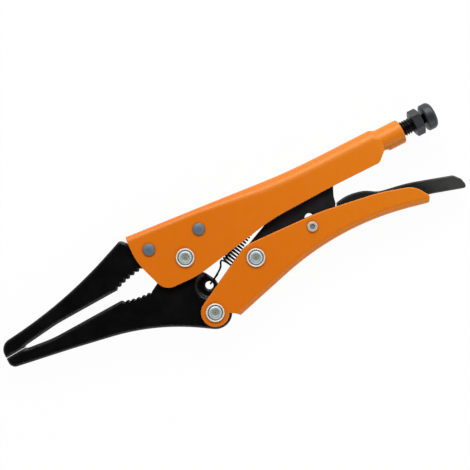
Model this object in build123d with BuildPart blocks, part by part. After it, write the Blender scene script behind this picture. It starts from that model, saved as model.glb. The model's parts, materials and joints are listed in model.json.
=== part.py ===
"""Locking pliers with a long straight nose, closed and locked, lying on their side.

Millimetres. The origin is on the main pivot axis at the plane that the tool rests on.
+X runs along the adjusting screw to the tail, +Y towards the upper handle, +Z up.
"""
import os
from math import acos, atan2, cos, dist, pi, radians, sin

from build123d import *

os.makedirs("parts", exist_ok=True)

# Sheet, widths and clearances
sheet = 2.6  # steel sheet of both handles
sheet_round = 0.6  # outer edges of that sheet
channel_inner = 10.8  # free width between the cheeks of a handle
head_proud = 1.1  # rivet heads and washers above the cheeks
side_gap = 0.35  # moving piece to cheek
pin_gap = 0.05  # moving piece to rivet, radial
fixed_gap = 0.02  # rivet to the hole that holds it, radial
face_gap = 0.3  # least room between faces that close on each other
channel_outer = channel_inner + 2 * sheet
channel_half = channel_outer / 2
mid_z = head_proud + channel_half
mover_half = channel_inner / 2 - side_gap
side = Plane.XY.offset(mid_z)

# Pivot places, seen from the side
main_pivot = (0.0, 0.0)
handle_pivot = (1.1, -37.5)
link_pivot = (37.7, -19.2)
lever_pivot = (76.2, -18.0)
front_rivet = (-17.2, 14.0)
rear_rivet = (15.0, 11.5)
spring_eye = (5.1, -21.5)

# Rivets and washers
pivot_r = 3.9  # shank of the three large rivets
flare_r = 4.3  # widest part of their peened ends
crest_r = 3.3  # bright ring on the peened end
dimple_r = 2.5
dimple_depth = 0.7
washer_r = 5.6
washer_crest_r = 5.05
flare_height = 0.45
jaw_rivet_r = 3.0
jaw_rivet_head_r = 3.75
jaw_rivet_dome = 0.6
lever_rivet_r = 2.4
lever_rivet_head_r = 3.2
lever_rivet_bore_r = 1.5
lever_rivet_bore_depth = 0.7
edge_break = 0.3  # small chamfer on turned edges

# Screw, nut and knob
screw_y = 9.5
thread_r = 4.76
thread_gap = 0.06
nose_r = 3.8
nose_x = 104.0
nose_room = 2.5  # screw tip to link nose, taken up as the link swings
neck_r = 3.1
spigot_r = 2.9
nut_flats = 14.3
bevel_in = 0.2  # flat ring of the nut inside its flats
nut_start = 158.9
nut_thick = 5.4
neck_length = 2.0
knob_r = 8.3
knob_thick = 6.4
knob_front_round = 1.0
knob_end_round = 2.8
spigot_depth = 4.0
tip_chamfer = 0.9
nut_end = nut_start + nut_thick
knob_start = nut_end + neck_length
nose = (nose_x, screw_y)
tip_x = nose_x + nose_r + nose_room

# Upper handle
handle_front = -26.0
back_front = 27.2  # height of the back at the front end
back_tail = 18.1  # height of the back at the tail
back_bend_x = 80.0
back_bend_reach = 16.0
back_r_front = 4.0
back_r_tail = 7.0
widen_start = 20.0  # the bend of the back widens from here
widen_end = 60.0  # to here
tail_x = 133.0
cheek_tail_y = -2.2
boss_r = 7.5
boss_y = 9.1  # the drawn tail sits a little off the screw axis
boss_start = 136.5
boss_end = 150.9
boss_round = 1.0
neck_lift = 0.6  # open side of the neck above the lowest line of the boss
boss_seam = 0.6
below = -30.0  # past the open side of the upper channel
trim_r = 0.5  # corners there, trimmed away
near_round = 0.1  # flat left between the corners of the round neck sections
above = 40.0  # past its back

# Lower handle
eye_r = 8.6
web_r = 4.0
web_bend_r = 175.0
web_path = ((-14.0, -53.5), (91.7, -25.0), (153.0, -38.7))
channel_depth = 50.0

# Jaws
jaw_hub_r = 11.8
jaw_eye_r = 10.2
ear_half = 1.5
ear_pocket_r = 7.6
ear_hole_r = 2.45
hub_gap = 0.7
jaw_tip_half = 3.4
taper_start = -44.0
nose_end = -124.0
tooth_count = 6
tooth_depth = 1.5
bevel = 0.9
jaw_round = 0.8

# Link and lever
link_eye_r = 8.4
link_half = 4.3
link_round = 1.0
lever_hub_r = 5.4
lever_sheet = 2.2
lever_slack = 0.2  # lever narrower than the link pocket
lever_half = mover_half - lever_slack
lever_round = 1.0
saddle_r = 2.0
notch_gap = 0.7
peep = (77.4, -12.9)  # small notch of the link that shows over the lower handle
peep_r = 3.2
notch_r = lever_hub_r + notch_gap

# Return spring
wire = 1.0
coil_r = 3.0
coil_pitch = 2.0
coil_turns = 14
coil_start = 16.0
spring_angle = 26.0
spring_span = 70.0
leg_bend_r = 1.3
hook_tail = 4.5
coil_shift = 0.15  # axis of the coil aside from the line of the hooks
coil_first = 0.5  # quarter turns left out where the front leg runs into the coil
leg_along = 13.0  # end of the straight front leg
leg_aside = 1.3
hook_seat = 4.1
post_half = 1.6
post_lip = 1.4
post_reach = 3.2
window_slack = 0.4  # window wider than the post lanced from it


def outline(*corners):
    """Draw a closed outline through corners (x, y, radius)."""
    points = [(x, y) for x, y, _ in corners]
    return FilletPolyline(*points, radius=[r for _, _, r in corners], close=True)


def tangent_point(corner, centre, radius, turn):
    """Point where a line from a corner touches a circle, on its far side as turn is 1 or -1."""
    bearing = atan2(corner[1] - centre[1], corner[0] - centre[0])
    bearing += turn * acos(radius / dist(corner[:2], centre))
    return (centre[0] + radius * cos(bearing), centre[1] + radius * sin(bearing), 0)


def tooth_row(start, end, sag):
    """Corners of a row of teeth on a bowed line, the roots to the side that sag bows to."""
    length = dist(start, end)
    along = ((end[0] - start[0]) / length, (end[1] - start[1]) / length)
    depth = tooth_depth if sag > 0 else -tooth_depth
    corners = []
    for step in range(2 * tooth_count + 1):
        t = step / (2 * tooth_count)
        height = 4 * sag * t * (1 - t) + (depth if step % 2 else 0)
        x = start[0] + along[0] * length * t - along[1] * height
        y = start[1] + along[1] * length * t + along[0] * height
        corners.append((x, y, 0))
    return corners


def back_y(x):
    """Height of the upper handle's back, two straight runs blended at the bend."""
    slope = (back_front - back_tail) / (back_bend_x - handle_front)
    if x <= back_bend_x - back_bend_reach:
        return back_tail + slope * (back_bend_x - x)
    if x >= back_bend_x + back_bend_reach:
        return back_tail
    return back_tail + slope * (back_bend_x + back_bend_reach - x) ** 2 / (4 * back_bend_reach)


def back_r(x):
    """Bend radius of the back, wider towards the tail."""
    share = min(1, max(0, (x - widen_start) / (widen_end - widen_start)))
    return back_r_front + (back_r_tail - back_r_front) * share


def section(x, half, top, bottom, top_r, bottom_r):
    """Rounded cross-section of the upper handle at x."""
    with BuildSketch(Plane.YZ.offset(x)) as face:
        with BuildLine():
            outline(
                (bottom, mid_z - half, bottom_r),
                (top, mid_z - half, top_r),
                (top, mid_z + half, top_r),
                (bottom, mid_z + half, bottom_r),
            )
        make_face()
    return face.sketch


def rim_edges(builder, x_range, y_range, least_half=edge_break):
    """Edges in a window seen from the side whose middles lie further than that from the middle plane."""
    window = builder.edges().filter_by_position(Axis.X, *x_range).filter_by_position(Axis.Y, *y_range)
    return window.filter_by(lambda edge: abs(edge.center().Z - mid_z) > least_half)


def turned(at):
    """Plane through a pivot axis, for a profile of radius and height."""
    return Plane(origin=(*at, 0), x_dir=(1, 0, 0), z_dir=(0, -1, 0))


def save(builder, name):
    """Label a finished piece and write its file."""
    builder.part.label = name
    export_step(builder.part, f"parts/{name}.step")


# Lines of the return spring, from the ear of the jaw to the post in the upper handle
lean = radians(spring_angle)
pull = Vector(cos(lean), sin(lean), 0)
across = Vector(-sin(lean), cos(lean), 0)
rise = Vector(0, 0, coil_r)
eye_point = Vector(*spring_eye, mid_z)
lead = atan2(coil_pitch, 2 * pi * coil_r)
bend_along = leg_bend_r * cos(lead)
bend_aside = leg_bend_r * (1 - sin(lead))
post_point = eye_point + pull * spring_span + across * (coil_shift + bend_aside)

# Upper handle: folded channel, its tail drawn into the screw boss
with BuildPart() as upper_handle:
    bend_stations = [back_bend_x + back_bend_reach * share for share in (-1, -0.5, 0, 0.5, 1)]
    stations = [handle_front - 4, widen_start, widen_end, *bend_stations, tail_x]
    loft(
        [section(x, channel_half, back_y(x), below, back_r(x), trim_r) for x in stations],
        ruled=True,
    )
    neck_round = boss_r - near_round
    neck_sections = [
        section(tail_x, channel_half, back_tail, cheek_tail_y, back_r_tail, trim_r),
        section(boss_start, boss_r, boss_y + boss_r, boss_y - boss_r, neck_round, neck_round),
    ]
    loft(neck_sections, ruled=True)
    inner_half = channel_inner / 2
    loft(
        [section(x, inner_half, back_y(x) - sheet, below, back_r(x) - sheet, trim_r) for x in stations],
        ruled=True,
        mode=Mode.SUBTRACT,
    )
    hollow_r = boss_r - sheet
    hollow_round = hollow_r - near_round
    neck_hollow = [
        section(tail_x, inner_half, back_tail - sheet, below, back_r_tail - sheet, trim_r),
        section(boss_start, hollow_r, screw_y + hollow_r, screw_y - hollow_r, hollow_round, hollow_round),
    ]
    loft(neck_hollow, ruled=True, mode=Mode.SUBTRACT)
    with BuildSketch(side):
        with BuildLine():
            outline(
                (handle_front + 0.2, above, 0),
                (handle_front - 1.4, 11.0, 40),
                (handle_front + 6.4, -12.2, 9),
                (2.5, -13.1, 60),
                (57.0, -3.05, 100),
                (95.0, -2.0, 300),
                (tail_x - 3.6, cheek_tail_y, 4),
                (tail_x + 1.2, boss_y - boss_r + neck_lift, 2),
                (boss_start + 2, boss_y - boss_r + neck_lift, 0),
                (boss_start + 2, above, 0),
            )
        make_face()
    extrude(amount=channel_outer, both=True, mode=Mode.INTERSECT)
    with BuildSketch(Plane.YZ.offset(boss_start)):
        with Locations((boss_y, mid_z)):
            Circle(boss_r)
    extrude(amount=boss_end - boss_start)
    fillet(upper_handle.edges().filter_by(GeomType.CIRCLE).group_by(Axis.X)[-1], boss_round)
    with BuildSketch(Plane.YZ.offset(boss_end)):
        with Locations((screw_y, mid_z)):
            Circle(thread_r + thread_gap)
    extrude(amount=tail_x - boss_end, mode=Mode.SUBTRACT)
    # Seam where the rolled tail closes under the screw
    with BuildSketch(Plane.YZ.offset(boss_end)):
        with Locations((boss_y - boss_r, mid_z)):
            Rectangle(2 * boss_seam, boss_seam)
    extrude(amount=boss_start - boss_end, mode=Mode.SUBTRACT)
    # Gap where the rolled tail leaves the cheeks
    with BuildSketch(side):
        with BuildLine():
            outline(
                (boss_start - 2.0, boss_y - boss_r - 1.0, 0),
                (boss_start + 4.5, boss_y - boss_r - 1.0, 0),
                (boss_start + 2.5, boss_y - boss_r + 1.4, 0.6),
                (boss_start - 2.0, boss_y - boss_r + 1.2, 0.6),
            )
        make_face()
    extrude(amount=channel_outer, both=True, mode=Mode.SUBTRACT)
    # Post for the spring, lanced from the back, and the window that it leaves
    post_top = back_y(post_point.X) - sheet / 2
    post_bottom = post_point.Y - post_reach
    with BuildSketch(side):
        with BuildLine():
            Polyline(
                (post_point.X - sheet / 2, post_top),
                (post_point.X - sheet / 2, post_bottom),
                (post_point.X + sheet / 2 + post_lip, post_bottom),
                (post_point.X + sheet / 2 + post_lip, post_bottom + sheet / 2),
                (post_point.X + sheet / 2, post_bottom + sheet / 2),
                (post_point.X + sheet / 2, post_top),
                close=True,
            )
        make_face()
    extrude(amount=post_half, both=True)
    window_length = post_top - post_bottom
    with BuildSketch(Plane.XZ.offset(-above)):
        with Locations((post_point.X + sheet / 2 + window_length / 2, mid_z)):
            RectangleRounded(window_length, 2 * post_half + window_slack, 2 * window_slack)
    extrude(amount=above - back_y(post_point.X) + 2 * sheet, mode=Mode.SUBTRACT)
    # Rivet holes through both cheeks
    with BuildSketch(side):
        with Locations(main_pivot):
            Circle(pivot_r + fixed_gap)
        with Locations(front_rivet, rear_rivet):
            Circle(jaw_rivet_r + fixed_gap)
    extrude(amount=channel_outer, both=True, mode=Mode.SUBTRACT)
save(upper_handle, "upper_handle")

# Fixed jaw: forged nose with its tang between the cheeks
with BuildPart() as fixed_jaw:
    tang_end = 23.0
    tang_foot = 6.3
    tang_drop = back_r_front + face_gap  # below the back, clear of the inner bend
    with BuildSketch(side):
        with BuildLine():
            outline(
                (nose_end, -5.0, 0.5),
                (-112.0, -4.3, 0),
                (-110.6, -3.5, 3),
                (-88.0, -0.5, 80),
                (-47.4, 1.0, 0),
                *tooth_row((-46.6, 1.0), (-26.2, 5.8), 0.7),
                (-24.0, tang_foot, 0),
                (tang_end, tang_foot, 3),
                (tang_end, back_y(tang_end) - tang_drop, 3),
                (-22.0, back_y(-22.0) - tang_drop, 4),
                (-26.2, 22.0, 2),
                (-30.8, 27.0, 1.8),
                (-76.2, 9.2, 285),
                (nose_end, 3.6, 7),
            )
        make_face()
        with Locations(main_pivot):
            Circle(jaw_hub_r + hub_gap, mode=Mode.SUBTRACT)
        with Locations(front_rivet, rear_rivet):
            Circle(jaw_rivet_r + fixed_gap, mode=Mode.SUBTRACT)
    extrude(amount=channel_inner / 2, both=True)
    with BuildSketch(Plane.XZ):
        with BuildLine():
            outline(
                (nose_end - 1, mid_z - jaw_tip_half, 0),
                (taper_start, mid_z - channel_inner / 2, 0),
                (tang_end + 1, mid_z - channel_inner / 2, 0),
                (tang_end + 1, mid_z + channel_inner / 2, 0),
                (taper_start, mid_z + channel_inner / 2, 0),
                (nose_end - 1, mid_z + jaw_tip_half, 0),
            )
        make_face()
    extrude(amount=above, both=True, mode=Mode.INTERSECT)
    chamfer(rim_edges(fixed_jaw, (-111.9, -47.5), (-4.2, 1.1)), bevel)
    fillet(rim_edges(fixed_jaw, (nose_end, -28.0), (2.5, back_front)), jaw_round)
save(fixed_jaw, "fixed_jaw")

# Moving jaw: hub on the main pivot, thin ear for the spring, eye for the lower handle
with BuildPart() as moving_jaw:
    jaw_heel = (10.2, -26.0, 10)
    jaw_belly = (-33.6, -27.3, 141)
    with BuildSketch(side):
        with BuildLine():
            outline(
                (nose_end, -5.0 - face_gap, 0.5),
                (-112.0, -4.3 - face_gap, 0),
                (-110.4, -5.4, 3),
                (-94.0, -7.2, 80),
                (-47.4, -5.6, 0),
                *tooth_row((-46.6, -6.0), (-26.8, -8.8), -1.0),
                (-21.5, -5.8, 3),
                (-10.5, 3.0, 0),
                (6.0, 3.0, 0),
                (4.2, -11.4, 0),
                (6.6, -14.2, 3),
                (10.0, -20.0, 3),
                jaw_heel,
                tangent_point(jaw_heel, handle_pivot, jaw_eye_r, -1),
                tangent_point(jaw_belly, handle_pivot, jaw_eye_r, 1),
                jaw_belly,
                (-85.0, -18.1, 250),
                (nose_end, -11.9, 4.5),
            )
        make_face()
        with Locations(main_pivot):
            Circle(jaw_hub_r)
        with Locations(handle_pivot):
            Circle(jaw_eye_r)
        with Locations(main_pivot, handle_pivot):
            Circle(pivot_r + pin_gap, mode=Mode.SUBTRACT)
    extrude(amount=mover_half, both=True)
    with BuildSketch(Plane.XZ):
        with BuildLine():
            outline(
                (nose_end - 1, mid_z - jaw_tip_half, 0),
                (taper_start, mid_z - mover_half, 0),
                (above, mid_z - mover_half, 0),
                (above, mid_z + mover_half, 0),
                (taper_start, mid_z + mover_half, 0),
                (nose_end - 1, mid_z + jaw_tip_half, 0),
            )
        make_face()
    extrude(amount=2 * above, both=True, mode=Mode.INTERSECT)
    chamfer(rim_edges(moving_jaw, (-111.9, -47.5), (-7.4, -4.7)), bevel)
    fillet(rim_edges(moving_jaw, (nose_end, -2.0), (-50.0, -12.0)), jaw_round)
    for face_plane in (side.offset(ear_half), side.offset(-mover_half)):
        with BuildSketch(face_plane):
            with Locations(spring_eye):
                Circle(ear_pocket_r)
        extrude(amount=mover_half - ear_half, mode=Mode.SUBTRACT)
    with BuildSketch(side):
        with Locations(spring_eye):
            Circle(ear_hole_r)
    extrude(amount=mover_half, both=True, mode=Mode.SUBTRACT)
save(moving_jaw, "moving_jaw")

# Lower handle: folded channel swept along its bowed web, trimmed to the cheek outline
with BuildPart() as lower_handle:
    with BuildLine() as web_line:
        FilletPolyline(*[(x, y, mid_z) for x, y in web_path], radius=web_bend_r)
    web_start = web_line.line @ 0
    with BuildSketch(Plane(origin=web_start, x_dir=(0, 0, -1), z_dir=web_line.line % 0)):
        with BuildLine():
            outline(
                (-channel_half, 0, web_r),
                (channel_half, 0, web_r),
                (channel_half, channel_depth, 0),
                (-channel_half, channel_depth, 0),
            )
        make_face()
        with BuildLine():
            outline(
                (-channel_inner / 2, sheet, web_r - sheet),
                (channel_inner / 2, sheet, web_r - sheet),
                (channel_inner / 2, channel_depth + 1, 0),
                (-channel_inner / 2, channel_depth + 1, 0),
            )
        make_face(mode=Mode.SUBTRACT)
    sweep(path=web_line.line)
    shoulder = (35.4, -9.8, 20)
    with BuildSketch(side):
        with BuildLine():
            outline(
                tangent_point(shoulder, handle_pivot, eye_r, 1),
                shoulder,
                (84.0, -12.0, 120),
                (121.5, -18.0, 100),
                (141.5, -24.1, 14),
                (147.3, -33.0, 2.5),
                (142.5, -43.7, 0),
                (14.2, -52.0, 0),
                (13.7, -45.4, 0.8),
                (11.8, -43.4, 1.0),
                (handle_pivot[0] + 5.0, -39.9, 0),
                (handle_pivot[0], handle_pivot[1], 0),
            )
        make_face()
        with Locations(handle_pivot):
            Circle(eye_r)
        with Locations(handle_pivot, link_pivot):
            Circle(pivot_r + fixed_gap, mode=Mode.SUBTRACT)
        with Locations(lever_pivot):
            Circle(lever_rivet_r + fixed_gap, mode=Mode.SUBTRACT)
    extrude(amount=channel_outer, both=True, mode=Mode.INTERSECT)
    # Room for the eye of the jaw inside the bend of the web
    with BuildSketch(side):
        with Locations(handle_pivot):
            Circle(jaw_eye_r + face_gap)
    extrude(amount=channel_inner / 2, both=True, mode=Mode.SUBTRACT)
    fillet(rim_edges(lower_handle, (36.0, 120.0), (-16.0, -9.0), mover_half + sheet), sheet_round)
save(lower_handle, "lower_handle")

# Toggle link: eye on the lower handle, heel over the lever, nose against the screw
with BuildPart() as toggle_link:
    link_back = (86.0, 10.6, 25)
    link_throat = (99.5, -0.5, 10)
    link_belly = (68.0, -15.2, 0)
    with BuildSketch(side):
        with BuildLine():
            outline(
                tangent_point(link_back, link_pivot, link_eye_r, 1),
                link_back,
                tangent_point(link_back, nose, nose_r, -1),
                tangent_point(link_throat, nose, nose_r, 1),
                link_throat,
                (96.3, -7.5, 10),
                (95.4, -12.0, 2),
                (92.4, -16.4, 1.5),
                (85.4, -17.4, 1.2),
                (lever_pivot[0], lever_pivot[1], 0),
                link_belly,
                tangent_point(link_belly, link_pivot, link_eye_r, -1),
            )
        make_face()
        with Locations(link_pivot):
            Circle(link_eye_r)
        with Locations(nose):
            Circle(nose_r)
        with Locations(lever_pivot):
            Circle(notch_r, mode=Mode.SUBTRACT)
        with Locations(peep):
            Circle(peep_r, mode=Mode.SUBTRACT)
        with Locations(link_pivot):
            Circle(pivot_r + pin_gap, mode=Mode.SUBTRACT)
    extrude(amount=link_half, both=True)
    fillet(rim_edges(toggle_link, (nose_x, nose_x + nose_r), (screw_y - nose_r, screw_y + nose_r)), link_round)
save(toggle_link, "toggle_link")

# Release lever: folded sheet, open below, with a hub on the lever rivet
with BuildPart() as release_lever:
    lever_belly = (120.0, -27.8, 60)
    lever_corners = (
        (80.8, -19.5, 0),
        (94.4, -18.4, 1.5),
        (96.6, -11.9, 1.5),
        (104.5, -10.6, 24),
        (114.0, -12.7, 20),
        (121.5, -17.4, 15),
        (139.4, -20.6, 100),
        (165.9, -28.9, 3),
        (169.4, -33.0, 3.5),
        (170.3, -36.8, 3),
        (169.7, -39.2, 1.4),
        (147.9, -32.5, 100),
        lever_belly,
        tangent_point(lever_belly, lever_pivot, lever_hub_r, -1),
        (lever_pivot[0], lever_pivot[1], 0),
    )
    with BuildSketch(mode=Mode.PRIVATE) as lever_face:
        with BuildLine():
            outline(*lever_corners)
        make_face()
        with Locations(lever_pivot):
            Circle(lever_hub_r)
        fillet(lever_face.vertices().sort_by_distance(lever_corners[0][:2])[0], saddle_r)
    with BuildSketch(side):
        add(lever_face.sketch)
    extrude(amount=lever_half, both=True)
    fillet(rim_edges(release_lever, (84.0, 172.0), (-40.0, -10.0)), lever_round)
    with BuildSketch(side):
        with Locations((-lever_sheet, -lever_sheet)):
            add(lever_face.sketch)
    extrude(amount=lever_half - lever_sheet, both=True, mode=Mode.SUBTRACT)
    with BuildSketch(side):
        with Locations(lever_pivot):
            Circle(lever_rivet_r + pin_gap)
    extrude(amount=lever_half, both=True, mode=Mode.SUBTRACT)
save(release_lever, "release_lever")

# Three large rivets, flat behind and dimpled in front, each with a washer on both cheeks
top_z = 2 * mid_z
pivots = {"main_pivot": main_pivot, "handle_pivot": handle_pivot, "link_pivot": link_pivot}
for pivot_name, place in pivots.items():
    with BuildPart() as rivet:
        with BuildSketch(turned(place)):
            with BuildLine():
                Polyline(
                    (0, 0),
                    (crest_r, 0),
                    (flare_r, head_proud - flare_height),
                    (pivot_r, head_proud),
                    (pivot_r, top_z - head_proud),
                    (flare_r, top_z - head_proud + flare_height),
                    (crest_r, top_z),
                    (dimple_r, top_z),
                    (dimple_r - dimple_depth, top_z - dimple_depth),
                    (0, top_z - dimple_depth),
                    close=True,
                )
            make_face()
        revolve(axis=Axis((*place, 0), (0, 0, 1)))
    save(rivet, f"{pivot_name}_rivet")
    for end_name, flip in (("back", False), ("front", True)):
        with BuildPart() as washer:
            with BuildSketch(turned(place)):
                with BuildLine():
                    outline(
                        (pivot_r + pin_gap, head_proud, 0),
                        (washer_r, head_proud, 0),
                        (washer_r, edge_break, edge_break),
                        (washer_crest_r, 0, edge_break),
                        (flare_r + pin_gap, head_proud - flare_height, 0),
                    )
                make_face()
            revolve(axis=Axis((*place, 0), (0, 0, 1)))
            if flip:
                mirror(about=side, mode=Mode.REPLACE)
        save(washer, f"{pivot_name}_washer_{end_name}")

# Two rivets that hold the tang of the fixed jaw, flat behind and slightly domed in front
for rivet_name, place in {"front_jaw_rivet": front_rivet, "rear_jaw_rivet": rear_rivet}.items():
    with BuildPart() as jaw_rivet:
        with BuildSketch(turned(place)):
            with BuildLine():
                Polyline(
                    (0, top_z),
                    (0, 0),
                    (jaw_rivet_head_r - edge_break, 0),
                    (jaw_rivet_head_r, edge_break),
                    (jaw_rivet_head_r, head_proud),
                    (jaw_rivet_r, head_proud),
                    (jaw_rivet_r, top_z - head_proud),
                    (jaw_rivet_head_r, top_z - head_proud),
                    (jaw_rivet_head_r, top_z - jaw_rivet_dome),
                )
                TangentArc((0, top_z), (jaw_rivet_head_r, top_z - jaw_rivet_dome), tangent=(1, 0))
            make_face()
        revolve(axis=Axis((*place, 0), (0, 0, 1)))
    save(jaw_rivet, rivet_name)

# Tubular rivet of the release lever
with BuildPart() as lever_rivet:
    with BuildSketch(turned(lever_pivot)):
        with BuildLine():
            Polyline(
                (0, lever_rivet_bore_depth),
                (lever_rivet_bore_r, lever_rivet_bore_depth),
                (lever_rivet_bore_r, edge_break),
                (lever_rivet_bore_r + edge_break, 0),
                (lever_rivet_head_r - 2 * edge_break, 0),
                (lever_rivet_head_r, 2 * edge_break),
                (lever_rivet_head_r, head_proud),
                (lever_rivet_r, head_proud),
                (lever_rivet_r, mid_z),
                (0, mid_z),
                close=True,
            )
        make_face()
    revolve(axis=Axis((*lever_pivot, 0), (0, 0, 1)))
    mirror(about=side)
save(lever_rivet, "lever_rivet")

# Adjusting screw: threaded shank with a spigot for the knob
screw_axis = Axis((0, screw_y, mid_z), (1, 0, 0))
screw_plane = Plane(origin=(0, screw_y, mid_z), x_dir=(1, 0, 0), z_dir=(0, 0, 1))
spigot_end = knob_start + spigot_depth
with BuildPart() as adjusting_screw:
    with BuildSketch(screw_plane):
        with BuildLine():
            Polyline(
                (tip_x, 0),
                (tip_x, thread_r - tip_chamfer),
                (tip_x + tip_chamfer, thread_r),
                (nut_end, thread_r),
                (nut_end, neck_r),
                (knob_start, neck_r),
                (knob_start, spigot_r),
                (spigot_end, spigot_r),
                (spigot_end, 0),
                close=True,
            )
        make_face()
    revolve(axis=screw_axis)
save(adjusting_screw, "adjusting_screw")

# Round knob on the spigot
with BuildPart() as screw_knob:
    knob_end = knob_start + face_gap + knob_thick
    with BuildSketch(screw_plane):
        with BuildLine():
            outline(
                (knob_start + face_gap, spigot_r + pin_gap, 0),
                (knob_start + face_gap, knob_r, knob_front_round),
                (knob_end, knob_r, knob_end_round),
                (knob_end, 0, 0),
                (spigot_end + face_gap, 0, 0),
                (spigot_end + face_gap, spigot_r + pin_gap, 0),
            )
        make_face()
    revolve(axis=screw_axis)
save(screw_knob, "screw_knob")

# Lock nut with its corners bevelled on both ends
with BuildPart() as lock_nut:
    nut_corner_r = nut_flats / 2 / cos(radians(30))
    nut_slope = 0.35
    nut_past = nut_corner_r + bevel_in
    with BuildSketch(Plane.YZ.offset(nut_start)):
        with Locations((screw_y, mid_z)):
            RegularPolygon(nut_corner_r, 6)
            Circle(thread_r + thread_gap, mode=Mode.SUBTRACT)
    extrude(amount=nut_thick)
    with BuildSketch(screw_plane):
        with BuildLine():
            nut_face_r = nut_flats / 2 - bevel_in
            bevel_run = (nut_past - nut_face_r) * nut_slope
            Polyline(
                (nut_start, 0),
                (nut_start, nut_face_r),
                (nut_start + bevel_run, nut_past),
                (nut_end - bevel_run, nut_past),
                (nut_end, nut_face_r),
                (nut_end, 0),
                close=True,
            )
        make_face()
    revolve(axis=screw_axis, mode=Mode.INTERSECT)
save(lock_nut, "lock_nut")


def coil_point(quarter):
    """Point of the coil after a number of quarter turns."""
    turn = quarter * pi / 2
    middle = eye_point + pull * (coil_start + coil_pitch * quarter / 4) + across * coil_shift
    return middle + rise * cos(turn) + across * (coil_r * sin(turn))


def coil_heading(quarter):
    """Direction of the wire there."""
    turn = quarter * pi / 2
    ring = across * (coil_r * cos(turn)) - rise * sin(turn)
    return (ring * (2 * pi) + pull * coil_pitch).normalized()


def biarc_middle(start, start_heading, end, end_heading):
    """Meeting point of two equal tangent arcs between two points."""
    gap = end - start
    headings = start_heading + end_heading
    a = 2 * (1 - start_heading.dot(end_heading))
    b = 2 * gap.dot(headings)
    c = gap.dot(gap)
    reach = (-b + (b * b + 4 * a * c) ** 0.5) / (2 * a)
    return (start + start_heading * reach + end - end_heading * reach) * 0.5


# Return spring: hook in the ear, close turns, long leg and hook round the post
with BuildPart() as return_spring:
    front_turn = eye_point + pull * hook_seat
    coil_end = 4 * coil_turns
    leg_out = coil_point(coil_end) + pull * bend_along + across * bend_aside
    rear_turn = post_point + rise
    with BuildLine() as wire_line:
        Line(front_turn - rise + pull * hook_tail, front_turn - rise)
        ThreePointArc(front_turn - rise, front_turn - pull * coil_r, front_turn + rise)
        leg_in = eye_point + pull * leg_along + across * leg_aside + rise
        leg_heading = (leg_in - front_turn - rise).normalized()
        Line(front_turn + rise, leg_in)
        start = leg_in
        start_heading = leg_heading
        for quarter in (coil_first, *range(1, coil_end + 1)):
            end = coil_point(quarter)
            end_heading = coil_heading(quarter)
            middle = biarc_middle(start, start_heading, end, end_heading)
            TangentArc(start, middle, tangent=start_heading)
            TangentArc(end, middle, tangent=end_heading * -1)
            start = end
            start_heading = end_heading
        TangentArc(coil_point(coil_end), leg_out, tangent=coil_heading(coil_end))
        Line(leg_out, rear_turn)
        ThreePointArc(rear_turn, post_point + pull * coil_r, post_point - rise)
        Line(post_point - rise, post_point - rise - pull * hook_tail)
    with BuildSketch(Plane(origin=front_turn - rise + pull * hook_tail, z_dir=pull * -1)):
        Circle(wire / 2)
    sweep(path=wire_line.wires()[0])
save(return_spring, "return_spring")

# Least room between the turns and hooks of the spring
spring_wire = wire_line.wires()[0]
sample_step = 0.25
sample_count = int(spring_wire.length / sample_step)
samples = [spring_wire @ (i / sample_count) for i in range(sample_count + 1)]
apart = int(4 * wire / sample_step)
least = min(
    (samples[i] - samples[j]).length
    for i in range(len(samples))
    for j in range(i + apart, len(samples))
)
print(f"return spring: {spring_wire.length:.1f} mm of wire, least gap to itself {least - wire:.2f} mm")
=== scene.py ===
# %% [markdown]
# # Locking pliers, dressed in Blender
# The solids of the pliers arrive from CAD in metres, each on the body that it moves with. This lesson
# leaves them where they are and adds what a solid cannot show: the studio, the finishes, the thread of
# the adjusting screw and the wound wire of the return spring.

# %% Load the frame
import json
from math import atan2, cos, pi, radians, sin, tau

import bpy
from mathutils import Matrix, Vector


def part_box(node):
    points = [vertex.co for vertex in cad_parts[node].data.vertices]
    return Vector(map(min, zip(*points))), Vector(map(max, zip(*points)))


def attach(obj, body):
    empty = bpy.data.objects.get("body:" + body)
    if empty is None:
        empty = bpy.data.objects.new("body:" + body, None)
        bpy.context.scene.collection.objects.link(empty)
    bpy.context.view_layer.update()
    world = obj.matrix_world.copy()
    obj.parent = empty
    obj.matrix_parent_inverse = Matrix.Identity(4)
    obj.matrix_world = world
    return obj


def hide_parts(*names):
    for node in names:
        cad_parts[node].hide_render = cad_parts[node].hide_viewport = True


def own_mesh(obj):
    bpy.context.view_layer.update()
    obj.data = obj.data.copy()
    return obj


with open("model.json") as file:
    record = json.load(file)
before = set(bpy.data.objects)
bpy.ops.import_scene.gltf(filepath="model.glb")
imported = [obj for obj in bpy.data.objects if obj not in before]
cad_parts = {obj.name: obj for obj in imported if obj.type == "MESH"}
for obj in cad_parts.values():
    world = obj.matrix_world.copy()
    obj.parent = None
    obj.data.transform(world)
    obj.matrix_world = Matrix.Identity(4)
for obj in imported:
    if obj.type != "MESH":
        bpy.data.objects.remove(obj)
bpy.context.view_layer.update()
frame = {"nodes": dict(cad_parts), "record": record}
MM = 0.001

# %% [markdown]
# ## The camera
# The photograph looks straight down on the flat side of the pliers from a little over half a metre.
# That is near enough for the round knob at the tail to show some of its front face. A roll of 27
# degrees lays the tool on the picture's diagonal. The picture is square, so one width sets the lens.

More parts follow.
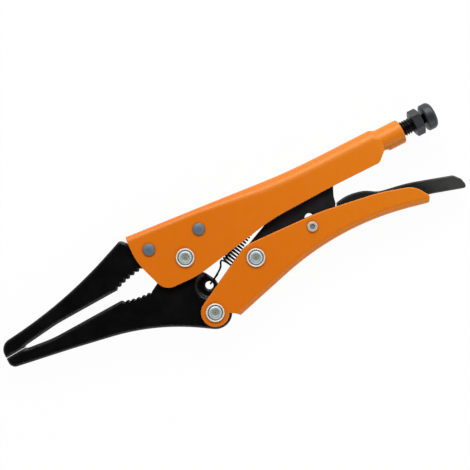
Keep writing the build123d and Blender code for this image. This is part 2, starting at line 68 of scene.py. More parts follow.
# %% Place the camera
TILT = 27.0
PICTURE_WIDTH = 0.2836
PICTURE_PLANE = 0.0118
CAMERA_X = 0.0327
CAMERA_Y = -0.00145
CAMERA_RISE = 0.56
SENSOR = 36.0
NEAR_CLIP = 0.01
camera_data = bpy.data.cameras.new("photo_camera")
camera_data.sensor_width = SENSOR
camera_data.lens = SENSOR * CAMERA_RISE / PICTURE_WIDTH
camera_data.clip_start = NEAR_CLIP
camera = bpy.data.objects.new("photo_camera", camera_data)
camera.location = (CAMERA_X, CAMERA_Y, PICTURE_PLANE + CAMERA_RISE)
camera.rotation_euler = (0.0, 0.0, radians(-TILT))
bpy.context.scene.collection.objects.link(camera)
bpy.context.scene.camera = camera
bpy.context.scene.view_settings.view_transform = "Standard"
print(f"lens {camera_data.lens:.0f} mm")

# %% [markdown]
# ## Helpers for node trees
# A material is a small graph. Three short helpers keep the graphs readable: one adds a node and sets
# its inputs by name, one makes a material around a Principled shader, and one turns the screen colours
# that people read off a picture into the linear colours that Blender works in.


# %% Node helpers
def add_node(tree, kind, inputs=None, **settings):
    """Add a shader node, set its properties and the values or links of its inputs."""
    node = tree.nodes.new("ShaderNode" + kind)
    for name, value in settings.items():
        setattr(node, name, value)
    for name, value in (inputs or {}).items():
        if isinstance(value, bpy.types.NodeSocket):
            tree.links.new(value, node.inputs[name])
        else:
            node.inputs[name].default_value = value
    return node


def new_finish(name, **principled):
    """Make a material with a Principled shader and return it, its tree and the shader."""
    material = bpy.data.materials.new(name)
    material.use_nodes = True
    tree = material.node_tree
    tree.nodes.clear()
    shader = add_node(tree, "BsdfPrincipled", principled)
    output = add_node(tree, "OutputMaterial")
    tree.links.new(shader.outputs["BSDF"], output.inputs["Surface"])
    return material, tree, shader


def srgb(red, green, blue):
    """Turn a screen colour of 0 to 255 into a linear colour."""
    shares = [channel / 255 for channel in (red, green, blue)]
    linear = [s / 12.92 if s <= 0.04045 else ((s + 0.055) / 1.055) ** 2.4 for s in shares]
    return (*linear, 1.0)


print("helpers ready")

# %% [markdown]
# ## The studio
# The tool lies on a pale floor. The floor glows nearly white to the camera and to mirror rays, and what
# is left of its own colour takes the shadow. Light Path tells the two kinds of ray apart from the rest.

# %% Floor
FLOOR_SIZE = 6.0
FLOOR_DROP = 0.0002
FLOOR_GREY = (0.9, 0.9, 0.9, 1.0)
FLOOR_GLOW = 0.97
WHITE = (1.0, 1.0, 1.0, 1.0)
bpy.ops.mesh.primitive_plane_add(size=FLOOR_SIZE, location=(0.0, 0.0, -FLOOR_DROP))
floor = bpy.context.object
floor.name = "studio_floor"
floor_finish, tree, floor_shader = new_finish(
    "studio_floor", Roughness=0.9, **{"Base Color": FLOOR_GREY, "Specular IOR Level": 0.0})
rays = add_node(tree, "LightPath")
seen = add_node(tree, "Math", {0: rays.outputs["Is Camera Ray"], 1: rays.outputs["Is Glossy Ray"]},
                operation="ADD", use_clamp=True)
share = add_node(tree, "Math", {0: seen.outputs[0], 1: FLOOR_GLOW}, operation="MULTIPLY")
glow = add_node(tree, "Emission", {"Color": WHITE, "Strength": 1.0})
mix = add_node(tree, "MixShader", {0: share.outputs[0], 1: floor_shader.outputs["BSDF"],
                                   2: glow.outputs["Emission"]})
tree.links.new(mix.outputs["Shader"], tree.nodes["Material Output"].inputs["Surface"])
floor.data.materials.append(floor_finish)
print("floor of", FLOOR_SIZE, "m")

# %% [markdown]
# Glossy black steel only looks black when it has something dark to mirror, so the sky of this studio is
# dark straight above the tool and bright towards the horizon. Flat faces then stay deep in colour, and
# every rounded edge picks up a line of light. The camera itself sees white.

# %% Sky
SKY_LOW = 0.2
SKY_HIGH = 0.75
HORIZON_LIGHT = 0.8
ZENITH_LIGHT = 0.02
world = bpy.data.worlds.new("studio_sky")
world.use_nodes = True
bpy.context.scene.world = world
sky = world.node_tree
sky.nodes.clear()
direction = add_node(sky, "TexCoord")
height = add_node(sky, "SeparateXYZ", {"Vector": direction.outputs["Generated"]})
level = add_node(sky, "MapRange", {"Value": height.outputs["Z"], "From Min": SKY_LOW, "From Max": SKY_HIGH,
                                   "To Min": HORIZON_LIGHT, "To Max": ZENITH_LIGHT},
                 interpolation_type="SMOOTHSTEP")
rays = add_node(sky, "LightPath")
lit = add_node(sky, "Mix", {"Factor": rays.outputs["Is Camera Ray"], "A": level.outputs["Result"],
                            "B": 1.0}, data_type="FLOAT")
background = add_node(sky, "Background", {"Color": WHITE, "Strength": lit.outputs["Result"]})
sky_output = add_node(sky, "OutputWorld")
sky.links.new(background.outputs["Background"], sky_output.inputs["Surface"])
print("sky from", HORIZON_LIGHT, "at the horizon to", ZENITH_LIGHT, "above")

# %% [markdown]
# Two soft lamps stand beside the tool. The stronger one is on the side of the upper handle, where the
# photograph shows a broad pale band along the rolled back. The weaker one fills the other side.

# %% Soft lamps
LAMP_AIM = Vector((0.03, 0.0, 0.0))


def soft_lamp(name, place, width, height, power):
    """Add an area lamp that faces the middle of the tool."""
    data = bpy.data.lights.new(name, "AREA")
    data.shape = "RECTANGLE"
    data.size = width
    data.size_y = height
    data.energy = power
    lamp = bpy.data.objects.new(name, data)
    lamp.location = place
    aim = LAMP_AIM - Vector(place)
    lamp.rotation_euler = aim.to_track_quat("-Z", "Y").to_euler()
    bpy.context.scene.collection.objects.link(lamp)
    print(name, power, "W")


soft_lamp("lamp_back", place=(0.45, 0.85, 0.75), width=1.6, height=0.5, power=19.0)
soft_lamp("lamp_front", place=(-0.1, -1.0, 0.6), width=1.4, height=0.4, power=5.5)

# %% [markdown]
# ## Shared effects
# Six effects are node groups, because finishes share them. A group has named sockets of its own, so a
# material sets a few numbers and the graph inside stays out of sight. One helper makes a group, the
# other places it in a material.


# %% Group helpers
def new_group(name, inputs, outputs):
    """Make a shader node group with named sockets and return it with its two end nodes."""
    group = bpy.data.node_groups.new(name, "ShaderNodeTree")
    for socket, kind, value in inputs:
        made = group.interface.new_socket(socket, in_out="INPUT", socket_type="NodeSocket" + kind)
        made.default_value = value
    for socket, kind in outputs:
        group.interface.new_socket(socket, in_out="OUTPUT", socket_type="NodeSocket" + kind)
    return group, group.nodes.new("NodeGroupInput"), group.nodes.new("NodeGroupOutput")


def use_group(tree, group, **inputs):
    """Place a group in a material with its own values."""
    return add_node(tree, "Group", inputs, node_tree=group)


print("group helpers ready")

# %% [markdown]
# A real edge is never quite sharp, so it catches a line of light. The Bevel node rounds the normal near
# an edge without touching the mesh. Where that normal leaves the true one, the mask shows an edge.

# %% Soft edges
soft_edges, start, end = new_group("soft_edges", [("Radius", "Float", 0.0005)],
                                   [("Normal", "Vector"), ("Mask", "Float")])
rounded = add_node(soft_edges, "Bevel", {"Radius": start.outputs["Radius"]}, samples=6)
true_face = add_node(soft_edges, "NewGeometry")
agree = add_node(soft_edges, "VectorMath", {0: rounded.outputs["Normal"], 1: true_face.outputs["Normal"]},
                 operation="DOT_PRODUCT")
turned = add_node(soft_edges, "MapRange", {"Value": agree.outputs["Value"], "From Min": 0.995,
                                           "From Max": 0.8, "To Min": 0.0, "To Max": 1.0})
soft_edges.links.new(rounded.outputs["Normal"], end.inputs["Normal"])
soft_edges.links.new(turned.outputs["Result"], end.inputs["Mask"])
print("group", soft_edges.name)

# %% [markdown]
# Paint and forged skin are never flat. Two sizes of noise in the piece's own coordinates give a height
# for the bump, and the coarse one alone is a cloud that lets colour and gloss drift.

# %% Ripple
COARSE_SIZE = 0.12
ripple, start, end = new_group("ripple", [("Scale", "Float", 600.0), ("Coarse Share", "Float", 0.4)],
                               [("Height", "Float"), ("Cloud", "Float")])
own = add_node(ripple, "TexCoord")
fine = add_node(ripple, "TexNoise", {"Vector": own.outputs["Object"], "Scale": start.outputs["Scale"],
                                     "Detail": 3.0, "Roughness": 0.55})
coarse_scale = add_node(ripple, "Math", {0: start.outputs["Scale"], 1: COARSE_SIZE}, operation="MULTIPLY")
coarse = add_node(ripple, "TexNoise", {"Vector": own.outputs["Object"], "Scale": coarse_scale.outputs[0],
                                       "Detail": 4.0, "Roughness": 0.6})
both = add_node(ripple, "Mix", {"Factor": start.outputs["Coarse Share"], "A": fine.outputs["Fac"],
                                "B": coarse.outputs["Fac"]}, data_type="FLOAT")
ripple.links.new(both.outputs["Result"], end.inputs["Height"])
ripple.links.new(coarse.outputs["Fac"], end.inputs["Cloud"])
print("group", ripple.name)

# %% [markdown]
# Dirt gathers and shade falls where faces come close together. Ambient occlusion finds those places, and
# the dark colour laid there is dirt and painted shade; noise breaks it up into specks.

# %% Grime and painted shade
grime_and_shade, start, end = new_group("grime_and_shade", [("Distance", "Float", 0.002), ("Amount", "Float", 0.5)],
                              [("Mask", "Float")])
# The dark colour laid by this mask is dirt and painted shade in corners and around rivets
nearness = add_node(grime_and_shade, "AmbientOcclusion", {"Distance": start.outputs["Distance"]}, samples=8)
hollow = add_node(grime_and_shade, "MapRange", {"Value": nearness.outputs["AO"], "From Min": 0.95, "From Max": 0.35,
                                      "To Min": 0.0, "To Max": 1.0})
own = add_node(grime_and_shade, "TexCoord")
specks = add_node(grime_and_shade, "TexNoise", {"Vector": own.outputs["Object"], "Scale": 900.0, "Detail": 4.0})
broken = add_node(grime_and_shade, "MapRange", {"Value": specks.outputs["Fac"], "From Min": 0.3, "From Max": 0.7,
                                      "To Min": 0.5, "To Max": 1.0})
patchy = add_node(grime_and_shade, "Math", {0: hollow.outputs["Result"], 1: broken.outputs["Result"]},
                  operation="MULTIPLY")
scaled = add_node(grime_and_shade, "Math", {0: patchy.outputs[0], 1: start.outputs["Amount"]},
                  operation="MULTIPLY", use_clamp=True)
grime_and_shade.links.new(scaled.outputs[0], end.inputs["Mask"])
print("group", grime_and_shade.name)

# %% [markdown]
# A turned piece changes in rings. Generated coordinates run from 0 to 1 over the box of a piece, so its
# axis is at one half, and twice the distance from there is 1 at the rim. The group gives that distance
# and fine turning marks round the axis. A little noise keeps the rings from being perfect.

# %% Turned rings
RING_WOBBLE = 0.05
rings_group, start, end = new_group("turned_rings", [("Marks", "Float", 60.0)],
                                    [("Radius", "Float"), ("Mark", "Float")])
own = add_node(rings_group, "TexCoord")
centred = add_node(rings_group, "VectorMath", {0: own.outputs["Generated"], 1: (0.5, 0.5, 0.5)},
                   operation="SUBTRACT")
flat = add_node(rings_group, "VectorMath", {0: centred.outputs["Vector"], 1: (2.0, 2.0, 0.0)},
                operation="MULTIPLY")
reach = add_node(rings_group, "VectorMath", {0: flat.outputs["Vector"]}, operation="LENGTH")
wobble = add_node(rings_group, "TexNoise", {"Vector": own.outputs["Object"], "Scale": 700.0,
                                            "Detail": 2.0})
sway = add_node(rings_group, "Math", {0: wobble.outputs["Fac"], 1: RING_WOBBLE, 2: reach.outputs["Value"]},
                operation="MULTIPLY_ADD")
phase = add_node(rings_group, "Math", {0: sway.outputs[0], 1: start.outputs["Marks"]},
                 operation="MULTIPLY")
mark = add_node(rings_group, "Math", {0: phase.outputs[0]}, operation="SINE")
rings_group.links.new(sway.outputs[0], end.inputs["Radius"])
rings_group.links.new(mark.outputs[0], end.inputs["Mark"])
print("group", rings_group.name)

# %% [markdown]
# The tail of a handle or a lever is paler, from hand wear and from a painted sheen of the light. This mask
# grows along the length of the piece towards the tail and has a ragged start.

# %% Paler tail: wear and painted sheen
RAGGED_REACH = 0.2
tail_wear_and_sheen, start, end = new_group("tail_wear_and_sheen", [("Start", "Float", 0.3), ("Full", "Float", 1.0)],
                                 [("Mask", "Float")])
own = add_node(tail_wear_and_sheen, "TexCoord")
length = add_node(tail_wear_and_sheen, "SeparateXYZ", {"Vector": own.outputs["Generated"]})
ragged = add_node(tail_wear_and_sheen, "TexNoise", {"Vector": own.outputs["Object"], "Scale": 160.0, "Detail": 5.0})
sway = add_node(tail_wear_and_sheen, "Math", {0: ragged.outputs["Fac"], 1: RAGGED_REACH, 2: length.outputs["X"]},
                operation="MULTIPLY_ADD")
paled = add_node(tail_wear_and_sheen, "MapRange", {"Value": sway.outputs[0], "From Min": start.outputs["Start"],
                                         "From Max": start.outputs["Full"], "To Min": 0.0, "To Max": 1.0})
tail_wear_and_sheen.links.new(paled.outputs["Result"], end.inputs["Mask"])
print("group", tail_wear_and_sheen.name)

# %% [markdown]
# Teeth are cut after the forging, so their edges stay crisp and their walls dull. This group marks an
# oval place in the piece's own coordinates. Edge falls to a small share inside it, and so does Gloss,
# except on faces that lie flat.

# %% Cut zone
SHARE_INSIDE = 0.08
cut_zone, start, end = new_group("cut_zone", [("Centre", "Vector", (0.0, 0.0, 0.0)),
                                              ("Size", "Vector", (1.0, 1.0, 1.0))],
                                 [("Edge", "Float"), ("Gloss", "Float")])
own = add_node(cut_zone, "TexCoord")
offset = add_node(cut_zone, "VectorMath", {0: own.outputs["Object"], 1: start.outputs["Centre"]},
                  operation="SUBTRACT")
spread = add_node(cut_zone, "VectorMath", {0: offset.outputs["Vector"], 1: start.outputs["Size"]},
                  operation="DIVIDE")
away = add_node(cut_zone, "VectorMath", {0: spread.outputs["Vector"]}, operation="LENGTH")
outside = add_node(cut_zone, "MapRange", {"Value": away.outputs["Value"], "From Min": 0.9, "From Max": 1.1,
                                          "To Min": SHARE_INSIDE, "To Max": 1.0})
facing = add_node(cut_zone, "SeparateXYZ", {"Vector": own.outputs["Normal"]})
lying = add_node(cut_zone, "Math", {0: facing.outputs["Z"]}, operation="ABSOLUTE")
glossy = add_node(cut_zone, "Math", {0: outside.outputs["Result"], 1: lying.outputs[0]},
                  operation="MAXIMUM")
cut_zone.links.new(outside.outputs["Result"], end.inputs["Edge"])
cut_zone.links.new(glossy.outputs[0], end.inputs["Gloss"])
print("group", cut_zone.name)

# %% [markdown]
# ## Finishes
# Two steps come back in every finish: one colour laid over another by a mask, and a roughness that
# follows the cloud of the ripple between two values.


# %% Finish helpers
def blend(tree, mask, under, over):
    """Lay one colour over another by a mask and return the socket of the result."""
    node = add_node(tree, "Mix", {"Factor": mask, "A": under, "B": over}, data_type="RGBA")
    return node.outputs["Result"]


def cloudy_roughness(tree, skin, rough):
    """Let the roughness drift with the ripple's cloud and return its socket."""
    low, high = rough
    node = add_node(tree, "MapRange", {"Value": skin.outputs["Cloud"], "From Min": 0.3, "From Max": 0.7,
                                       "To Min": low, "To Max": high})
    return node.outputs["Result"]


def link_shader(tree, shader, colour, roughness, bumps):
    """Join the three sockets that vary over the surface to the shader."""
    tree.links.new(colour, shader.inputs["Base Color"])
    tree.links.new(roughness, shader.inputs["Roughness"])
    tree.links.new(bumps.outputs["Normal"], shader.inputs["Normal"])


print("finish helpers ready")

# %% [markdown]
# Paint, forged black steel, phosphated sheet and oxide differ in colour and gloss, but they are built
# alike: a base colour that drifts a little or grows paler towards the tail with wear and a painted sheen,
# edges lighter from wear and a painted highlight, corners darker from dirt and painted shade, a roughness
# that follows the drift, and a fine bump. One function lays that pattern down and each finish gives it its
# own numbers.

# %% Coated steel
GRIME_SHADE_REACH = 0.003
GRIME_SHADE_AMOUNT = 0.8
RIPPLE_DEPTH = 0.0004
DULL = 1.0


def coated_steel(name, colour, drift_and_sheen, edge, edge_share, dirt_and_shade, rough, ripple_scale, bump, edge_radius,
                 tail_wear_sheen=None, cut=None, **principled):
    """Finish whose colour drifts or grows paler towards the tail with wear and a painted sheen, with worn
    edges that carry a painted highlight, grime and painted shade in corners, and a rippled skin.
    """
    material, tree, shader = new_finish(name, **principled)
    skin = use_group(tree, ripple, Scale=ripple_scale)
    edges = use_group(tree, soft_edges, Radius=edge_radius)
    corners = use_group(tree, grime_and_shade, Distance=GRIME_SHADE_REACH, Amount=GRIME_SHADE_AMOUNT)
    drift_and_sheen_mask = skin.outputs["Cloud"]
    # Paler towards the tail: hand wear, and a painted sheen of the light
    if tail_wear_sheen:
        drift_and_sheen_mask = use_group(tree, tail_wear_and_sheen, Start=tail_wear_sheen[0], Full=tail_wear_sheen[1]).outputs["Mask"]
    base = blend(tree, drift_and_sheen_mask, colour, drift_and_sheen)
    # Edges lighter: wear, and a painted highlight along every rim
    wear_highlight_mask = add_node(tree, "Math", {0: edges.outputs["Mask"], 1: edge_share}, operation="MULTIPLY")
    wear_highlighted = blend(tree, wear_highlight_mask.outputs[0], base, edge)
    # Corners darkened by ambient occlusion: dirt, and painted shade where faces come close
    dirt_and_shade_laid = blend(tree, corners.outputs["Mask"], wear_highlighted, dirt_and_shade)
    roughness = cloudy_roughness(tree, skin, rough)
    if cut:
        zone = use_group(tree, cut_zone, Centre=cut[0], Size=cut[1])
        crisp = add_node(tree, "Math", {0: zone.outputs["Edge"], 1: edge_radius}, operation="MULTIPLY")
        tree.links.new(crisp.outputs[0], edges.inputs["Radius"])
        walls = add_node(tree, "Mix", {"Factor": zone.outputs["Gloss"], "A": DULL, "B": roughness},
                         data_type="FLOAT")
        roughness = walls.outputs["Result"]
    bumps = add_node(tree, "Bump", {"Height": skin.outputs["Height"], "Strength": bump,
                                    "Distance": RIPPLE_DEPTH, "Normal": edges.outputs["Normal"]})
    link_shader(tree, shader, dirt_and_shade_laid, roughness, bumps)
    return material


print("coated_steel ready")

# %% [markdown]
# Rivets and washers are turned and then peened, so their look changes in rings: a bright rim, a dark
# groove, a paler crest, a dull middle. Part of that is the metal's own tone; the bright rim is also a
# painted highlight and the dark groove painted shade. A colour ramp over the distance from the axis holds
# those tones.

# %% Turned steel
TURNED_RIPPLE = 1800.0
TURNED_EDGE = 0.0002
TURNED_GRIME_SHADE_REACH = 0.0008
TURNED_GRIME_SHADE_AMOUNT = 0.6
MARK_HEIGHT = 0.15
MARK_BUMP = 0.08
MARK_DEPTH = 0.0003


def turned_steel(name, tones_with_light, dirt_and_shade, rough, **principled):
    """Finish whose tone, painted highlight and painted shade change with the distance from the axis of the
    piece, 0 to 1.
    """
    material, tree, shader = new_finish(name, **principled)
    rings = use_group(tree, rings_group)
    skin = use_group(tree, ripple, Scale=TURNED_RIPPLE)
    edges = use_group(tree, soft_edges, Radius=TURNED_EDGE)
    corners = use_group(tree, grime_and_shade, Distance=TURNED_GRIME_SHADE_REACH, Amount=TURNED_GRIME_SHADE_AMOUNT)
    # Beside the metal's own tones, the ramp's bright rim is a painted highlight and its dark groove
    # painted shade
    ramp = add_node(tree, "ValToRGB", {"Fac": rings.outputs["Radius"]})
    stops = ramp.color_ramp.elements
    for place, (radius, tone) in enumerate(tones_with_light):
        stop = stops[place] if place < 2 else stops.new(radius)
        stop.position = radius
        stop.color = tone
    # Corners darkened by ambient occlusion: dirt, and painted shade where faces come close
    dirt_and_shade_laid = blend(tree, corners.outputs["Mask"], ramp.outputs["Color"], dirt_and_shade)
    roughness = cloudy_roughness(tree, skin, rough)
    marked = add_node(tree, "Math", {0: rings.outputs["Mark"], 1: MARK_HEIGHT, 2: skin.outputs["Height"]},
                      operation="MULTIPLY_ADD")
    bumps = add_node(tree, "Bump", {"Height": marked.outputs[0], "Strength": MARK_BUMP,
                                    "Distance": MARK_DEPTH, "Normal": edges.outputs["Normal"]})
    link_shader(tree, shader, dirt_and_shade_laid, roughness, bumps)
    return material


print("turned_steel ready")

# %% [markdown]
# Now each coated finish gets its numbers. The orange paint and the lever grow paler towards the tail, with
# wear and a painted sheen.
# The black steel of the jaws is cut where the teeth are, an oval given by its middle and its reach.

# %% Coated finishes
TEETH_CENTRE = (-0.0358, -0.0015, 0.0091)
TEETH_REACH = (0.0128, 0.0125, 1.0)
orange_paint = coated_steel(
    "orange_paint", colour=srgb(217, 109, 2), drift_and_sheen=srgb(219, 118, 10),
    edge=srgb(242, 154, 66), edge_share=0.6, dirt_and_shade=srgb(120, 56, 4), rough=(0.38, 0.48),
    ripple_scale=1500.0, bump=0.05, edge_radius=0.0009, tail_wear_sheen=(0.4, 1.05),
    **{"Specular IOR Level": 0.5, "Specular Tint": (0.96, 1.0, 0.6, 1.0)})
black_steel = coated_steel(
    "black_steel", colour=srgb(3, 3, 3), drift_and_sheen=srgb(6, 6, 6),
    edge=srgb(70, 71, 74), edge_share=0.4, dirt_and_shade=srgb(3, 3, 3), rough=(0.24, 0.34),
    ripple_scale=700.0, bump=0.12, edge_radius=0.0026, cut=(TEETH_CENTRE, TEETH_REACH),
    **{"Specular IOR Level": 0.45})
link_steel = coated_steel(
    "link_steel", colour=srgb(22, 21, 24), drift_and_sheen=srgb(30, 30, 36),
    edge=srgb(62, 63, 66), edge_share=0.35, dirt_and_shade=srgb(8, 8, 9), rough=(0.34, 0.46),
    ripple_scale=800.0, bump=0.1, edge_radius=0.0005, **{"Specular IOR Level": 0.4})
grey_lever = coated_steel(
    "grey_lever", colour=srgb(18, 20, 21), drift_and_sheen=srgb(60, 60, 59),
    edge=srgb(92, 92, 90), edge_share=0.4, dirt_and_shade=srgb(10, 10, 10), rough=(0.42, 0.55),
    ripple_scale=1100.0, bump=0.1, edge_radius=0.0004, tail_wear_sheen=(0.82, 1.02), Metallic=0.3)
dark_screw = coated_steel(
    "dark_screw", colour=srgb(60, 61, 65), drift_and_sheen=srgb(48, 49, 53),
    edge=srgb(106, 108, 112), edge_share=0.5, dirt_and_shade=srgb(14, 14, 15), rough=(0.38, 0.5),
    ripple_scale=1400.0, bump=0.12, edge_radius=0.0003, Metallic=0.4)
black_oxide = coated_steel(
    "black_oxide", colour=srgb(22, 22, 22), drift_and_sheen=srgb(30, 30, 30),
    edge=srgb(60, 60, 60), edge_share=0.2, dirt_and_shade=srgb(6, 6, 6), rough=(0.3, 0.42),
    ripple_scale=1600.0, bump=0.06, edge_radius=0.0001, Metallic=0.6)
print("coated:", *(m.name for m in (orange_paint, black_steel, link_steel, grey_lever, dark_screw,
                                    black_oxide)))

# %% [markdown]
# The turned finishes list their tones from the axis outwards, each with the radius where it is reached;
# the bright rims among them are painted highlights and the dark grooves and rims painted shade.

# %% Turned finishes
zinc_washer = turned_steel(
    "zinc_washer",
    tones_with_light=((0.8, srgb(84, 92, 98)), (0.85, srgb(150, 154, 156)), (0.9, srgb(232, 224, 216)),
           (0.97, srgb(238, 226, 216)), (1.0, srgb(208, 186, 170))),
    dirt_and_shade=srgb(92, 92, 92), rough=(0.34, 0.46), Metallic=0.1)
zinc_rivet = turned_steel(
    "zinc_rivet",
    tones_with_light=((0.1, srgb(124, 130, 120)), (0.35, srgb(152, 162, 154)), (0.6, srgb(164, 174, 168)),
           (0.68, srgb(152, 164, 164)), (0.76, srgb(192, 205, 208)), (0.88, srgb(196, 208, 212)),
           (0.98, srgb(98, 106, 110))),
    dirt_and_shade=srgb(70, 76, 80), rough=(0.34, 0.46), Metallic=0.15)
zinc_tube = turned_steel(
    "zinc_tube",
    tones_with_light=((0.38, srgb(124, 138, 132)), (0.5, srgb(146, 152, 146)), (0.6, srgb(190, 184, 178)),
           (0.92, srgb(200, 188, 178)), (1.0, srgb(170, 154, 140))),
    dirt_and_shade=srgb(80, 84, 82), rough=(0.34, 0.46), Metallic=0.1)
blued_rivet = turned_steel(
    "blued_rivet",
    tones_with_light=((0.1, srgb(88, 116, 136)), (0.5, srgb(104, 124, 138)), (0.85, srgb(118, 124, 126)),
           (1.0, srgb(104, 100, 94))),
    dirt_and_shade=srgb(40, 48, 54), rough=(0.36, 0.5), Metallic=0.3)
print("turned:", *(m.name for m in (zinc_washer, zinc_rivet, zinc_tube, blued_rivet)))

# %% [markdown]
# ## Dress the solids
# The record names a material slot for each solid, so the right finish is looked up there. Zinc comes
# in three ring patterns and black steel in two depths, so the rivets and the link take theirs by name.

# %% Assign finishes
finishes = {"orange_paint": orange_paint, "black_steel": black_steel, "grey_lever": grey_lever,
            "zinc": zinc_washer, "blued_rivet": blued_rivet, "dark_screw": dark_screw,
            "black_oxide": black_oxide}
own_finish = {"main_pivot_rivet": zinc_rivet, "handle_pivot_rivet": zinc_rivet,
              "link_pivot_rivet": zinc_rivet, "lever_rivet": zinc_tube, "toggle_link": link_steel}
slots = {part["node"]: part["material_slot"] for part in frame["record"]["subparts"]}
for name, node in frame["nodes"].items():
    node.data.materials.clear()
    node.data.materials.append(own_finish.get(name, finishes[slots[name]]))
print(len(slots), "solids dressed")

# %% [markdown]
# ## Adjusting screw
# The real screw has a rolled thread of 16 turns to the inch. A thread is a groove profile carried round
# a helix: the radius of the screw's skin is read from a triangular wave whose phase moves with the
# angle. The wave is cut off at both ends, which leaves the crest and the root a little flat.

# %% Thread shape
SCREW_AXIS_Y = 9.5 * MM
SCREW_AXIS_Z = 9.1 * MM
THREAD_LEAD = 1.5875 * MM
CREST_R = 4.76 * MM
ROOT_R = 3.8 * MM
ROOT_SHARE = 0.12
FLANK_SHARE = 0.74
TIP_TAPER = 0.9 * MM
screw_low, screw_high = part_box("adjusting_screw")
TIP_X = screw_low.x


def thread_radius(x, angle):
    """Radius of the screw's skin at a place along it and an angle round it."""
    phase = (x / THREAD_LEAD - angle / tau) % 1.0
    wave = abs(2.0 * phase - 1.0)
    flank = min(1.0, max(0.0, (wave - ROOT_SHARE) / FLANK_SHARE))
    radius = ROOT_R + (CREST_R - ROOT_R) * flank
    limit = CREST_R - max(0.0, TIP_TAPER - (x - TIP_X))
    return min(radius, limit)


print(f"thread {(CREST_R - ROOT_R) / MM:.2f} mm deep")

# %% [markdown]
# Each ring of points is a cross-section of the screw. Rings set a fraction of a turn apart and joined
# by faces give one closed tube without a seam.

# %% Ring and tube
ROUND_STEPS = 48


def screw_ring(x, radius_at):
    """Ring of points round the screw axis at x."""
    points = []
    for step in range(ROUND_STEPS):
        angle = tau * step / ROUND_STEPS
        radius = radius_at(x, angle)
        points.append((x, SCREW_AXIS_Y + radius * cos(angle), SCREW_AXIS_Z + radius * sin(angle)))
    return points


def tube_mesh(name, rings):
    """Closed mesh through rings of equal point counts, with both ends capped."""
    count = len(rings[0])
    points = [point for ring in rings for point in ring]
    faces = []
    for ring in range(len(rings) - 1):
        for step in range(count):
            nearby = (step + 1) % count
            faces.append((ring * count + step, ring * count + nearby,
                          (ring + 1) * count + nearby, (ring + 1) * count + step))
    faces.append(tuple(reversed(range(count))))
    last = (len(rings) - 1) * count
    faces.append(tuple(last + step for step in range(count)))
    mesh = bpy.data.meshes.new(name)
    mesh.from_pydata(points, [], faces)
    mesh.validate()
    mesh.polygons.foreach_set("use_smooth", [len(p.vertices) == 4 for p in mesh.polygons])
    piece = bpy.data.objects.new(name, mesh)
    bpy.context.scene.collection.objects.link(piece)
    return piece


print("rings of", ROUND_STEPS, "points")

# %% [markdown]
# The shank is the thread, then a plain neck, then a thinner spigot that sits in the knob. It takes the
# place of the plain CAD shank and rides on the same body.

# %% Threaded shank
RINGS_PER_TURN = 16
THREAD_END_X = 164.3 * MM
NECK_R = 3.1 * MM
NECK_END_X = 166.3 * MM
SPIGOT_R = 2.9 * MM
ring_step = THREAD_LEAD / RINGS_PER_TURN
thread_rings = int((THREAD_END_X - TIP_X) / ring_step)
rings = [screw_ring(TIP_X + ring_step * i, thread_radius) for i in range(thread_rings + 1)]
plain_end = ((THREAD_END_X, NECK_R), (NECK_END_X, NECK_R), (NECK_END_X, SPIGOT_R),
             (screw_high.x, SPIGOT_R))
for x, radius in plain_end:
    rings.append(screw_ring(x, lambda _x, _angle, r=radius: r))
threaded_shank = tube_mesh("threaded_shank", rings)
threaded_shank.data.materials.append(black_oxide)
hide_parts("adjusting_screw")
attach(threaded_shank, "screw")
print("thread of", round((THREAD_END_X - TIP_X) / THREAD_LEAD, 1), "turns")

# %% [markdown]
# ## Return spring
# The spring is one wire: a hook in the ear of the jaw, a bent leg, fourteen turns, a long leg and a hook
# round the post inside the upper handle. Its line is written as points in three directions: along the
# pull, across it and up. The coil leans a little to the upper handle, and each turn slants.

# %% Spring sizes
WIRE_R = 0.58 * MM
COIL_R = 3.0 * MM
COIL_PITCH = 2.0 * MM
COIL_TURNS = 14
COIL_START = 16.0 * MM
COIL_SHIFT = -0.05 * MM
COIL_LEAN = 0.05
COIL_SLANT = -0.22 * MM
SPRING_ANGLE = radians(26.0)
SPRING_SPAN = 70.0 * MM
LEG_BEND_R = 1.3 * MM
HOOK_SEAT = 4.1 * MM
HOOK_TAIL = 4.5 * MM
POST_SHIFT = 0.15 * MM
# Front leg, in millimetres from the ear: along, across and up
LEG_BENDS = ((10.4, 0.5, 3.0), (13.4, 1.3, 3.0), (14.5, 2.4, 2.8), (15.4, 3.05, 2.2), (16.0, 3.25, 1.2))
# Rear leg, as shares of its length
LEG_STOPS = (0.35, 0.7)
POINTS_PER_TURN = 24
# The front leg runs in after a quarter turn
FIRST_STEP = 6
HOOK_STEPS = 14
SPRING_EYE = Vector((5.1 * MM, -21.5 * MM, SCREW_AXIS_Z))
pull = Vector((cos(SPRING_ANGLE), sin(SPRING_ANGLE), 0.0))
across = Vector((-sin(SPRING_ANGLE), cos(SPRING_ANGLE), 0.0))
up = Vector((0.0, 0.0, 1.0))
rise = up * COIL_R
climb = atan2(COIL_PITCH, tau * COIL_R)
bend_along = LEG_BEND_R * cos(climb)
bend_aside = LEG_BEND_R * (1.0 - sin(climb))
post_point = SPRING_EYE + pull * SPRING_SPAN + across * (POST_SHIFT + bend_aside)
print(f"coil {COIL_TURNS * COIL_PITCH / MM:.0f} mm long, wire {2 * WIRE_R / MM:.2f} mm thick")

# %% [markdown]
# Each hook is a half circle, and the turns are points on a helix round the leaning middle of the coil.
# The line runs from the tail of the front hook to the tail of the rear one.


# %% Spring line
def arc_points(centre, first, second):
    """Half circle from one arm to its opposite, by way of the second arm."""
    angles = [pi * i / HOOK_STEPS for i in range(HOOK_STEPS + 1)]
    return [centre + first * cos(a) + second * sin(a) for a in angles]


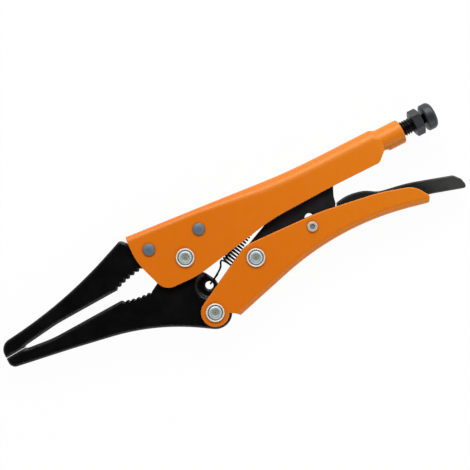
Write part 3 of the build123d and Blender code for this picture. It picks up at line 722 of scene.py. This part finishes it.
def coil_points():
    """Points of the turns, from the first to the last."""
    points = []
    for i in range(FIRST_STEP, COIL_TURNS * POINTS_PER_TURN + 1):
        turn = tau * i / POINTS_PER_TURN
        along = COIL_PITCH * turn / tau
        slant = COIL_SLANT * cos(turn)
        aside = COIL_SHIFT + COIL_LEAN * along
        middle = SPRING_EYE + pull * (COIL_START + along + slant) + across * aside
        points.append(middle + rise * cos(turn) + across * (COIL_R * sin(turn)))
    return points


front_turn = SPRING_EYE + pull * HOOK_SEAT
turns = coil_points()
leg_out = turns[-1] + pull * bend_along + across * bend_aside
wire_line = [front_turn - rise + pull * HOOK_TAIL]
wire_line += arc_points(front_turn, -rise, pull * -COIL_R)
for along, aside, height in LEG_BENDS:
    wire_line.append(SPRING_EYE + pull * (along * MM) + across * (aside * MM) + up * (height * MM))
wire_line += turns
wire_line += [leg_out]
wire_line += [leg_out.lerp(post_point + rise, stop) for stop in LEG_STOPS]
wire_line += arc_points(post_point, rise, pull * COIL_R)
wire_line += [post_point - rise - pull * HOOK_TAIL]
print("line of", len(wire_line), "points")

# %% [markdown]
# A curve smooths the points, its bevel makes it a round wire, and the evaluated curve becomes a mesh.

# %% Spring wire
wire_curve = bpy.data.curves.new("return_spring_wire", "CURVE")
wire_curve.dimensions = "3D"
wire_curve.bevel_depth = WIRE_R
wire_curve.bevel_resolution = 3
wire_curve.use_fill_caps = True
spline = wire_curve.splines.new("NURBS")
spline.points.add(len(wire_line) - 1)
for point, place in zip(spline.points, wire_line):
    point.co = (*place, 1.0)
spline.order_u = 3
spline.use_endpoint_u = True
spline.resolution_u = 2
curve_piece = bpy.data.objects.new("return_spring_wire", wire_curve)
bpy.context.scene.collection.objects.link(curve_piece)
bpy.context.view_layer.update()
evaluated = curve_piece.evaluated_get(bpy.context.evaluated_depsgraph_get())
wire_mesh = bpy.data.meshes.new_from_object(evaluated)
bpy.data.objects.remove(curve_piece)
wound_spring = bpy.data.objects.new("wound_spring", wire_mesh)
bpy.context.scene.collection.objects.link(wound_spring)
wire_mesh.polygons.foreach_set("use_smooth", [True] * len(wire_mesh.polygons))
wire_mesh.materials.clear()
wire_mesh.materials.append(black_oxide)
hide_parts("return_spring")
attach(wound_spring, "upper_frame")
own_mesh(wound_spring)
print("spring of", len(wire_mesh.polygons), "faces")

# %% [markdown]
# ## End
# The dressed tool must stay inside the box of the solids.

# %% End
print("scene dressed")
